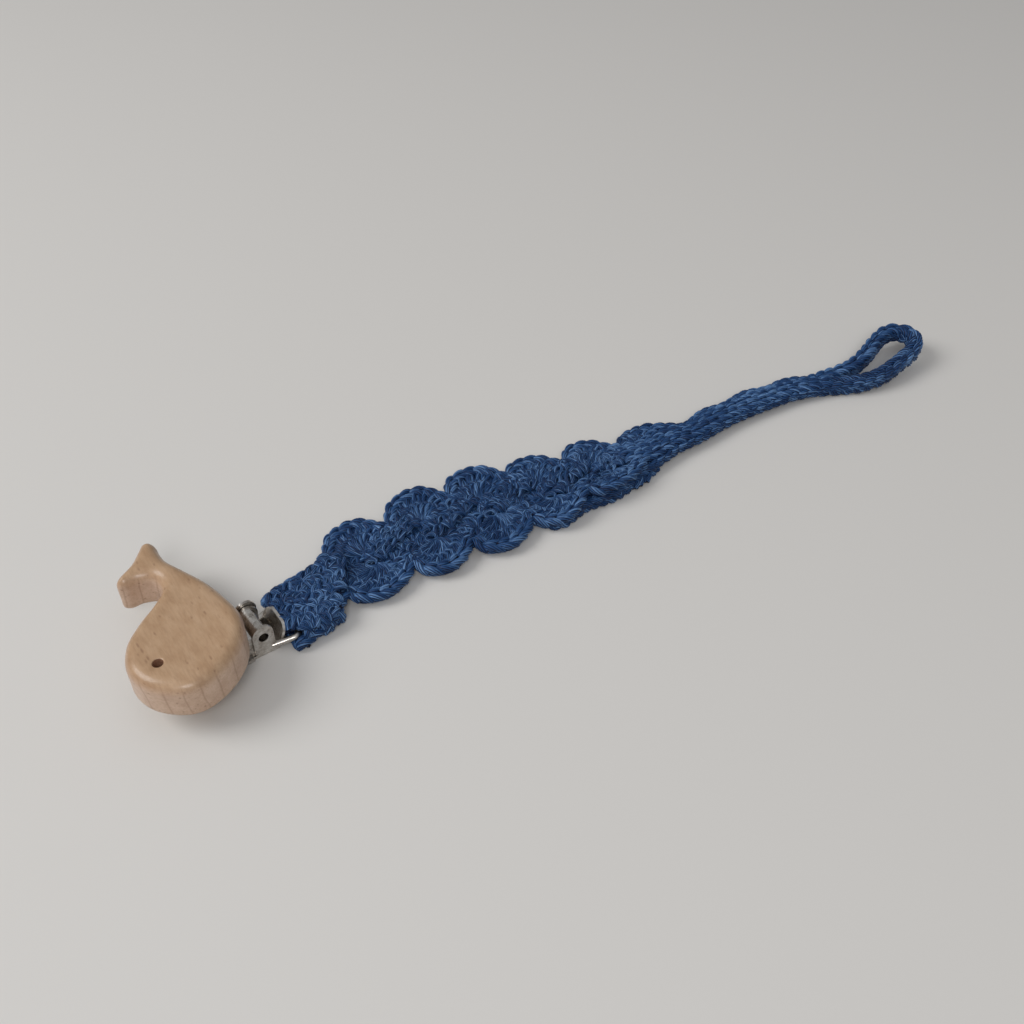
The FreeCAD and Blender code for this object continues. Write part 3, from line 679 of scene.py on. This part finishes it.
def face_points(outline, inward):
    """The corners inside a flat face: rings that follow its rounded edge, then a grid."""
    points = []
    for angle in np.radians(np.arange(12, 91, 13)):
        inset = ROUND_TOP * (1 - math.cos(angle))
        ring = outline + inward * inset
        points.append(ring[distance_to(ring, outline) > inset - 0.03])
    (low_x, low_y), (high_x, high_y) = (-28, -17), (-2, 28)
    grid = np.meshgrid(np.arange(low_x, high_x, GRID_STEP), np.arange(low_y, high_y, GRID_STEP))
    grid = np.stack(grid, -1).reshape(-1, 2)
    grid = grid[inside(grid, outline)]
    points.append(grid[distance_to(grid, outline) > ROUND_TOP + 0.3])
    points = np.concatenate(points)
    apart = np.unique(np.round(points / 0.16).astype(int), axis=0, return_index=True)[1]
    points = points[np.sort(apart)]
    return points[np.linalg.norm(points - EYE, axis=1) > EYE_RADIUS + EYE_RIM + 0.15]


def face_triangles(points, outline):
    """A flat sheet of triangles that fills the outline, whose points come first."""
    loop = list(range(len(outline)))
    found = mathutils.geometry.delaunay_2d_cdt([Vector(p) for p in points], [], [loop], 0, 1e-6)
    places, triangles = np.array([v[:] for v in found[0]]), np.array(found[2])
    middles = places[triangles].mean(axis=1)
    kept = inside(middles, outline)
    return places, triangles[kept], middles[kept]


def top_height(places, outline):
    """The upper face, which curves down to the sides and into the eye."""
    rim = np.clip(distance_to(places, outline), 0, ROUND_TOP)
    height = WOOD_TOP - ROUND_TOP + np.sqrt(np.clip(ROUND_TOP**2 - (ROUND_TOP - rim) ** 2, 0, None))
    hole = np.clip(np.linalg.norm(places - EYE, axis=1) - EYE_RADIUS, 0, EYE_RIM)
    return height - (EYE_RIM - np.sqrt(EYE_RIM**2 - (EYE_RIM - hole) ** 2))


def low_height(places, outline):
    """The lower face, which curves up to the sides."""
    rim = np.clip(distance_to(places, outline), 0, ROUND_LOW)
    return WOOD_LOW + ROUND_LOW - np.sqrt(np.clip(ROUND_LOW**2 - (ROUND_LOW - rim) ** 2, 0, None))


def walls(rings):
    """Four-cornered faces between each ring of corners and the next one."""
    return [face for upper, lower in zip(rings, rings[1:])
            for face in np.stack([upper, lower, np.roll(lower, -1), np.roll(upper, -1)], axis=1).tolist()]


def add_whale():
    """The whale sanded round: the flat faces curve down to the sides, and the eye is drilled in."""
    outline, inward = whale_outline()
    filling = face_points(outline, inward)
    turns = np.linspace(0, 2 * math.pi, EYE_SIDES, endpoint=False)
    circle = np.stack([np.cos(turns), np.sin(turns)], axis=1)
    corners = []

    def numbered(places, heights):
        """Adds corners and returns their numbers."""
        first = sum(len(group) for group in corners)
        corners.append(np.column_stack([places, np.broadcast_to(heights, len(places))]))
        return np.arange(len(places)) + first

    eye_rings = [EYE + circle * (EYE_RADIUS + out) for out in (0.0, 0.05, 0.14, EYE_RIM)]
    places, triangles, middles = face_triangles(np.concatenate([outline, filling] + eye_rings), outline)
    solid = np.linalg.norm(middles - EYE, axis=1) > EYE_RADIUS * 0.995
    top = numbered(places, top_height(places, outline))
    faces = (triangles[solid] + top[0]).tolist()

    places, triangles, _middles = face_triangles(np.concatenate([outline, filling]), outline)
    low = numbered(places, low_height(places, outline))
    faces += (triangles[:, ::-1] + low[0]).tolist()

    count = len(outline)
    between = np.linspace(WOOD_TOP - ROUND_TOP, WOOD_LOW + ROUND_LOW, 7)[1:-1]
    faces += walls([top[:count]] + [numbered(outline, height) for height in between] + [low[:count]])

    bore = [(EYE_RADIUS, EYE_RIM), (EYE_RADIUS, 1.2), (EYE_RADIUS, EYE_DEPTH - 0.4),
            (EYE_RADIUS * 0.5, EYE_DEPTH - 0.1)]
    rings = [numbered(EYE + circle * radius, WOOD_TOP - depth) for radius, depth in bore]
    tip = int(numbered(EYE[None, :], WOOD_TOP - EYE_DEPTH)[0])
    faces += walls(rings)
    faces += [[near, after, tip] for near, after in zip(rings[-1].tolist(), np.roll(rings[-1], -1).tolist())]

    mesh = bpy.data.meshes.new("whale")
    mesh.from_pydata((np.concatenate(corners) * MM).tolist(), [], faces)
    mesh.update()
    made = bpy.data.objects.new("beech_whale", mesh)
    bpy.context.collection.objects.link(made)
    shape = bmesh.new()
    shape.from_mesh(mesh)
    bmesh.ops.remove_doubles(shape, verts=shape.verts, dist=0.00001)
    bmesh.ops.recalc_face_normals(shape, faces=shape.faces)
    shape.to_mesh(mesh)
    shape.free()
    mesh.polygons.foreach_set("use_smooth", np.ones(len(mesh.polygons), bool))
    return made


whale = add_whale()


# ---- materials ----


class Nodes:
    """A short way to build a material's node tree."""

    def __init__(self, name):
        self.material = bpy.data.materials.new(name)
        self.material.use_nodes = True
        self.tree = self.material.node_tree
        self.shader = self.tree.nodes["Principled BSDF"]

    def add(self, kind, **settings):
        node = self.tree.nodes.new(kind)
        inputs = settings.pop("inputs", {})
        for key, value in settings.items():
            setattr(node, key, value)
        for key, value in inputs.items():
            if isinstance(value, bpy.types.NodeSocket):
                self.tree.links.new(value, node.inputs[key])
            else:
                node.inputs[key].default_value = value
        return node

    def math(self, operation, a, b=0.0, clamp=False):
        settings = {"operation": operation, "use_clamp": clamp}
        return self.add("ShaderNodeMath", inputs={0: a, 1: b}, **settings).outputs[0]

    def ramp(self, factor, stops):
        """Colours, or plain greys where a stop is one number, along a factor."""
        node = self.add("ShaderNodeValToRGB", inputs={"Fac": factor})
        elements = node.color_ramp.elements
        while len(elements) < len(stops):
            elements.new(0.5)
        for element, (at, colour) in zip(elements, stops):
            element.position = at
            element.color = (colour, colour, colour, 1.0) if isinstance(colour, float) else (*colour, 1.0)
        return node.outputs["Color"]

    def mix(self, factor, a, b, blend="MIX"):
        node = self.add("ShaderNodeMix", data_type="RGBA", blend_type=blend)
        for index, value in ((0, factor), (6, a), (7, b)):
            if isinstance(value, bpy.types.NodeSocket):
                self.tree.links.new(value, node.inputs[index])
            else:
                node.inputs[index].default_value = value if index == 0 else (*value, 1.0)
        return node.outputs[2]

    def noise(self, vector, scale, detail=4.0, rough=0.5):
        return self.add("ShaderNodeTexNoise", inputs={"Vector": vector, "Scale": scale, "Detail": detail,
                                                      "Roughness": rough}).outputs["Fac"]

    def stretch(self, vector, factors, turn=(0.0, 0.0, 0.0)):
        inputs = {"Vector": vector, "Scale": factors, "Rotation": turn}
        return self.add("ShaderNodeMapping", inputs=inputs).outputs[0]

    def bump(self, height, strength, distance):
        inputs = {"Height": height, "Strength": strength, "Distance": distance}
        return self.add("ShaderNodeBump", inputs=inputs).outputs[0]

    def set(self, **sockets):
        """Fills the shader's own sockets, named with _ for a space, and hands over the material."""
        for key, value in sockets.items():
            socket = self.shader.inputs[key.replace("_", " ")]
            if isinstance(value, bpy.types.NodeSocket):
                self.tree.links.new(value, socket)
            elif isinstance(value, tuple) and len(value) == 3:
                socket.default_value = (*value, 1.0)
            else:
                socket.default_value = value
        return self.material


def cotton():
    """Plied yarn: painted shade in the grooves between plies, a painted light at one side of each ply's
    crest, and each ply of its own tone.
    """
    n = Nodes("blue_cotton_yarn")
    uv = n.add("ShaderNodeUVMap", uv_map="yarn").outputs[0]
    parts = n.add("ShaderNodeSeparateXYZ", inputs={0: uv})
    around, along = parts.outputs[0], parts.outputs[1]
    ply = n.math("MULTIPLY", around, float(PLIES))
    place = n.math("FRACT", ply)
    painted_light_at = 1.33  # in half plies: the painted light on a ply is brightest past its middle, at its second crest corner, so the painted groove shade lies on its first side
    hollow = n.math("ABSOLUTE", n.math("SUBTRACT", n.math("MULTIPLY", place, 2.0), painted_light_at))
    crest = n.math("SUBTRACT", 1.0, n.math("POWER", n.math("MINIMUM", hollow, 1.0), 3.0))
    tint = n.add("ShaderNodeAttribute", attribute_name="tint").outputs["Fac"]
    which = {0: n.math("FLOOR", ply), 1: n.math("MULTIPLY", tint, 91.0), 2: 0.0}
    each_ply = n.add("ShaderNodeCombineXYZ", inputs=which).outputs[0]
    shade = n.add("ShaderNodeTexWhiteNoise", noise_dimensions="3D",
                  inputs={"Vector": each_ply}).outputs["Value"]
    drawn_out = {0: n.math("MULTIPLY", around, 34.0), 1: n.math("MULTIPLY", along, 1.1),
                 2: n.math("MULTIPLY", tint, 37.0)}
    fibre = n.noise(n.add("ShaderNodeCombineXYZ", inputs=drawn_out).outputs[0], 1.0, 3.0, 0.6)
    where = n.add("ShaderNodeTexCoord").outputs["Object"]
    patch = n.noise(where, 90.0, 2.0)
    rest = n.math("ADD", n.math("MULTIPLY", fibre, 0.45), n.math("MULTIPLY", patch, 0.25))
    mixed = n.math("ADD", n.math("MULTIPLY", shade, 0.30), rest)
    body = n.ramp(mixed, [(0.30, (0.004, 0.024, 0.090)), (0.50, (0.018, 0.070, 0.200)),
                          (0.70, (0.135, 0.268, 0.510))])
    # painted shade: the colour is darkened towards the grooves between plies and left full at each ply's
    # painted-lit crest corner
    painted_groove_shade = n.ramp(crest, [(0.0, (0.03, 0.06, 0.12)), (0.50, (0.30, 0.36, 0.46)), (0.90, (1.0, 1.0, 1.0))])
    colour = n.mix(1.0, body, painted_groove_shade, "MULTIPLY")
    height = n.math("ADD", n.math("MULTIPLY", crest, 0.6), n.math("MULTIPLY", fibre, 0.5))
    return n.set(Base_Color=colour, Roughness=0.46, Sheen_Weight=0.07, Sheen_Roughness=0.4,
                 Sheen_Tint=(0.45, 0.65, 1.0), Specular_IOR_Level=0.22, Normal=n.bump(height, 0.7, 0.00015))


def wood_tone(n, where, lean):
    """Light and dark streaks, darker and warmer on the flat faces than on the sides."""
    broad = n.noise(n.stretch(where, (150.0, 18.0, 90.0), lean), 1.0, 5.0, 0.55)
    mottle = n.noise(n.stretch(where, (500.0, 220.0, 500.0), lean), 1.0, 4.0, 0.6)
    tone = n.math("ADD", n.math("MULTIPLY", broad, 0.5), n.math("MULTIPLY", mottle, 0.5))
    face = n.ramp(tone, [(0.36, (0.390, 0.235, 0.130)), (0.50, (0.475, 0.305, 0.180)),
                         (0.62, (0.530, 0.355, 0.220))])
    end = n.ramp(tone, [(0.34, (0.480, 0.310, 0.215)), (0.50, (0.560, 0.385, 0.275)),
                        (0.66, (0.640, 0.460, 0.345))])
    normal = n.add("ShaderNodeTexCoord").outputs["Normal"]
    upward = n.math("ABSOLUTE", n.add("ShaderNodeSeparateXYZ", inputs={0: normal}).outputs[2])
    side = n.math("SUBTRACT", 1.0, n.math("MULTIPLY", upward, 1.2), True)
    return side, n.mix(side, face, end)


def year_rings(n, where, lean, side, base):
    """Thin dark lines about 3 mm apart, clearest on the sides."""
    rings_per_metre = 300.0
    across = n.add("ShaderNodeSeparateXYZ", inputs={0: n.stretch(where, (1.0, 1.0, 1.0), lean)}).outputs[0]
    wander = n.noise(n.stretch(where, (60.0, 25.0, 60.0)), 1.0, 2.0)
    bend = n.math("MULTIPLY", n.math("SUBTRACT", wander, 0.5), 0.005)
    year = n.math("FRACT", n.math("MULTIPLY", n.math("ADD", across, bend), rings_per_metre))
    line = n.ramp(year, [(0.0, 0.0), (0.86, 0.0), (0.95, 1.0), (1.0, 0.15)])
    strength = n.math("ADD", 0.10, n.math("MULTIPLY", side, 0.40))
    return n.mix(n.math("MULTIPLY", line, strength), base, (0.30, 0.165, 0.095))


def in_the_eye(n, where):
    """1 inside the drilled eye and 0 elsewhere."""
    place = n.add("ShaderNodeSeparateXYZ", inputs={0: where})
    aside = n.math("POWER", n.math("ADD", place.outputs[0], -float(EYE[0]) * MM), 2.0)
    below = n.math("POWER", n.math("ADD", place.outputs[1], -float(EYE[1]) * MM), 2.0)
    within = n.math("LESS_THAN", n.math("ADD", aside, below), ((EYE_RADIUS + 0.03) * MM) ** 2)
    above = n.math("GREATER_THAN", place.outputs[2], (WOOD_TOP - EYE_DEPTH - 0.2) * MM)
    return n.math("MULTIPLY", within, above)


def beech():
    """Sanded beech: streaks, year rings, fine grain, smudges and the small dark flecks of its rays."""
    n = Nodes("beech_wood")
    where = n.add("ShaderNodeTexCoord").outputs["Object"]
    lean = (0.0, 0.0, math.radians(12))
    side, base = wood_tone(n, where, lean)
    ringed = year_rings(n, where, lean, side, base)
    fine = n.noise(n.stretch(where, (2600.0, 300.0, 2600.0), lean), 1.0, 4.0, 0.6)
    grain = n.mix(n.math("MULTIPLY", n.math("SUBTRACT", fine, 0.44, True), 1.1), ringed, (0.30, 0.180, 0.100))
    cells = n.add("ShaderNodeTexVoronoi", feature="F1",
                  inputs={"Vector": n.stretch(where, (900.0, 260.0, 900.0), lean), "Scale": 1.0})
    fleck = n.ramp(cells.outputs["Distance"], [(0.08, 1.0), (0.26, 0.0)])
    some = n.ramp(n.noise(where, 420.0, 2.0), [(0.47, 0.0), (0.56, 1.0)])
    cloud = n.noise(n.stretch(where, (330.0, 110.0, 330.0), lean), 1.0, 3.0, 0.6)
    smudge = n.ramp(cloud, [(0.58, 0.0), (0.70, 1.0)])
    smudged = n.mix(n.math("MULTIPLY", smudge, 0.34), grain, (0.30, 0.170, 0.090))
    flecks = n.math("MULTIPLY", n.math("MULTIPLY", fleck, some), 0.55)
    flecked = n.mix(flecks, smudged, (0.22, 0.115, 0.062))
    colour = n.mix(n.math("MULTIPLY", in_the_eye(n, where), 0.66), flecked, (0.16, 0.045, 0.016))
    rough = n.math("ADD", 0.30, n.math("MULTIPLY", fine, 0.22))
    height = n.math("SUBTRACT", n.math("MULTIPLY", fine, 0.5), n.math("MULTIPLY", fleck, 0.5))
    return n.set(Base_Color=colour, Roughness=rough, Specular_IOR_Level=0.42, Coat_Weight=0.35,
                 Coat_Roughness=0.20, Normal=n.bump(height, 0.22, 0.00006))


def nickel(name, rough, scratch):
    """Bright plated steel, a little worn, with fine scratches that also dull it."""
    n = Nodes(name)
    where = n.add("ShaderNodeTexCoord").outputs["Object"]
    worn = n.noise(where, 700.0, 5.0, 0.6)
    lines = n.noise(n.stretch(where, (900.0, 9000.0, 2500.0)), 1.0, 3.0, 0.5)
    tone = n.math("ADD", n.math("MULTIPLY", worn, 0.7), n.math("MULTIPLY", lines, 0.3))
    colour = n.ramp(tone, [(0.34, (0.34, 0.305, 0.265)), (0.50, (0.58, 0.55, 0.51)),
                           (0.64, (0.76, 0.745, 0.715))])
    roughness = n.math("ADD", rough, n.math("MULTIPLY", n.math("ADD", worn, lines), scratch))
    return n.set(Base_Color=colour, Metallic=1.0, Roughness=roughness, Normal=n.bump(tone, 0.12, 0.00004))


def jaw_plastic():
    """Moulded off-white plastic, slightly uneven."""
    n = Nodes("jaw_plastic")
    where = n.add("ShaderNodeTexCoord").outputs["Object"]
    mottle = n.noise(where, 1500.0, 4.0)
    colour = n.ramp(n.noise(where, 260.0, 3.0), [(0.3, (0.74, 0.72, 0.66)), (0.7, (0.84, 0.83, 0.79))])
    rough = n.math("ADD", 0.42, n.math("MULTIPLY", mottle, 0.2))
    return n.set(Base_Color=colour, Roughness=rough, Subsurface_Weight=0.05,
                 Normal=n.bump(mottle, 0.12, 0.00004))


def dress(name, material, bevel):
    """Gives a CAD part its material, and softens its edges as stamping or moulding does."""
    made = bpy.data.objects[name]
    made.data.materials.clear()
    made.data.materials.append(material)
    soft = made.modifiers.new("edges", "BEVEL")
    soft.width = bevel * MM
    soft.segments = 3
    soft.limit_method = "ANGLE"
    soft.angle_limit = math.radians(40)
    soft.use_clamp_overlap = True
    soft.harden_normals = False


cotton_material = cotton()
plate = nickel("nickel_plate", 0.16, 0.14)
pin = nickel("nickel_pin", 0.12, 0.10)
dress("base_plate", plate, 0.12)
dress("lever_plate", plate, 0.10)
dress("spring_jaw", plate, 0.08)
dress("pivot_pin", pin, 0.06)
dress("lever_screws", pin, 0.08)
dress("jaw_pad", jaw_plastic(), 0.12)
whale.data.materials.append(beech())
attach(whale, "lever")
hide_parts("whale_body")

for piece in shell_rows + spines + tails + [hem, loop]:
    piece.data.materials.append(cotton_material)

# ---- what each piece moves with ----

for row in shell_rows[:4]:
    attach(row, "strap")
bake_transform(hem)
for piece in [shell_rows[4], shell_rows[5]] + spines + tails:
    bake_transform(piece)
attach(loop, "strap_end")
for row in shell_rows:
    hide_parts("strap_band")
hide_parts("strap_hem")
for tail in tails:
    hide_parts("strap_tail")
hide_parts("loop_cord")


# ---- floor and light ----


def add_floor():
    """A plain pale floor, a tenth of a millimetre below the part."""
    mesh = bpy.data.meshes.new("floor")
    half = 1.5
    corners = [(-half, -half, 0), (half, -half, 0), (half, half, 0), (-half, half, 0)]
    mesh.from_pydata(corners, [], [(0, 1, 2, 3)])
    floor = bpy.data.objects.new("floor", mesh)
    bpy.context.collection.objects.link(floor)
    floor.location.z = -0.0001
    n = Nodes("floor")
    mesh.materials.append(n.set(Base_Color=(0.70, 0.685, 0.66), Roughness=0.75))


def add_area(name, place, target, size, power, colour):
    """A round soft light that faces its target; places in metres, power in watts."""
    data = bpy.data.lights.new(name, "AREA")
    data.shape = "DISK"
    data.size = size
    data.energy = power
    data.color = colour
    lamp = bpy.data.objects.new(name, data)
    bpy.context.collection.objects.link(lamp)
    lamp.location = place
    lamp.rotation_euler = (Vector(target) - Vector(place)).to_track_quat("-Z", "Y").to_euler()


def add_world():
    """A room that is brighter overhead than at the sides, which the metal mirrors."""
    world = bpy.data.worlds.new("studio")
    world.use_nodes = True
    tree = world.node_tree
    where = tree.nodes.new("ShaderNodeTexCoord")
    parts = tree.nodes.new("ShaderNodeSeparateXYZ")
    ramp = tree.nodes.new("ShaderNodeValToRGB")
    tree.links.new(where.outputs["Generated"], parts.inputs[0])
    tree.links.new(parts.outputs[2], ramp.inputs[0])
    tree.links.new(ramp.outputs[0], tree.nodes["Background"].inputs["Color"])
    ramp.color_ramp.elements.new(0.5)
    stops = [(0.0, (0.44, 0.43, 0.42)), (0.30, (0.21, 0.195, 0.18)), (0.9, (0.62, 0.63, 0.65))]
    for element, (at, colour) in zip(ramp.color_ramp.elements, stops):
        element.position = at
        element.color = (*colour, 1.0)
    tree.nodes["Background"].inputs["Strength"].default_value = 0.67
    bpy.context.scene.world = world


add_floor()
add_world()
add_area("key", (-0.75, 0.45, 0.85), (0.10, 0, 0), 0.75, 7.7, (1.0, 0.99, 0.975))
add_area("fill", (-0.40, -0.70, 0.8), (0.05, 0, 0), 0.45, 3.4, (0.99, 0.99, 1.0))
bpy.context.scene.view_settings.view_transform = "Standard"
